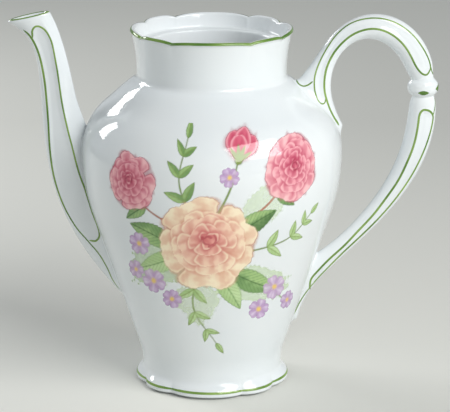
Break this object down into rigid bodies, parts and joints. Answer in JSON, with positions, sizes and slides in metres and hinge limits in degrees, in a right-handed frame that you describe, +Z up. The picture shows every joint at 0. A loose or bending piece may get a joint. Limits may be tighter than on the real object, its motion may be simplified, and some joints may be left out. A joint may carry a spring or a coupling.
{
  "type": "coffee pot",
  "caption": "Porcelain coffee pot with a baluster body on a scalloped foot, a tall curved spout, a looped ear handle with a knuckle and an open scalloped neck with a lid ledge.",
  "frame": {"origin": "centre of the foot on the table plane", "axes": "+X towards the handle, -X towards the spout, +Z up along the pot's axis out of the neck"},
  "size_m": [0.2119, 0.1296, 0.1887],
  "materials": {
    "porcelain": "glossy white glaze",
    "green_enamel": "glossy fired-on green enamel"
  },
  "bodies": {
    "root": {"pot_body": "porcelain", "spout": "porcelain", "handle": "porcelain", "rim_line": "green_enamel", "foot_line": "green_enamel", "spout_mouth_line": "green_enamel", "spout_keel_line_front": "green_enamel", "spout_keel_line_back": "green_enamel", "spout_panel_line_front": "green_enamel", "spout_panel_line_back": "green_enamel", "handle_upper_line_front": "green_enamel", "handle_upper_line_back": "green_enamel", "handle_lower_line_front": "green_enamel", "handle_lower_line_back": "green_enamel", "knuckle_dashes": "green_enamel"}
  },
  "joints": []
}
